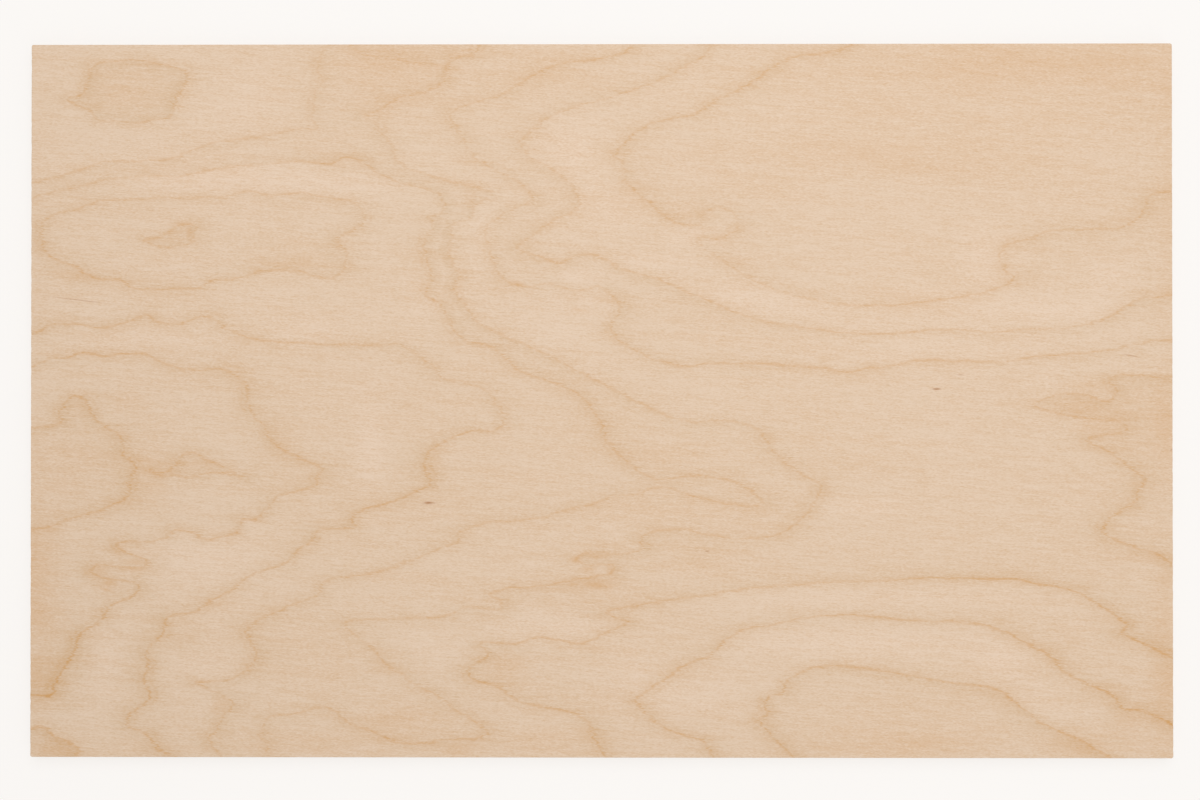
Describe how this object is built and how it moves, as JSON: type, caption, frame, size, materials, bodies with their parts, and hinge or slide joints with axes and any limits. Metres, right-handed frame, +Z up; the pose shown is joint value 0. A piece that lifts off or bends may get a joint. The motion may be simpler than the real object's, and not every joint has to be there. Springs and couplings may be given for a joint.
{
  "type": "plywood sheet",
  "caption": "Flat rectangular panel of pale birch plywood with rotary-cut face figure, square-sawn edges and lightly eased arrises, for cutting up or fixing down as a board.",
  "frame": {"origin": "middle of the underside, on the surface the sheet lies on", "axes": "+X along the length and the face grain, +Y across the width, +Z up through the thickness to the face"},
  "size_m": [0.8, 0.5, 0.012],
  "materials": {
    "birch_plywood": "matte"
  },
  "bodies": {
    "root": {"plywood_sheet": "birch_plywood"}
  },
  "joints": []
}
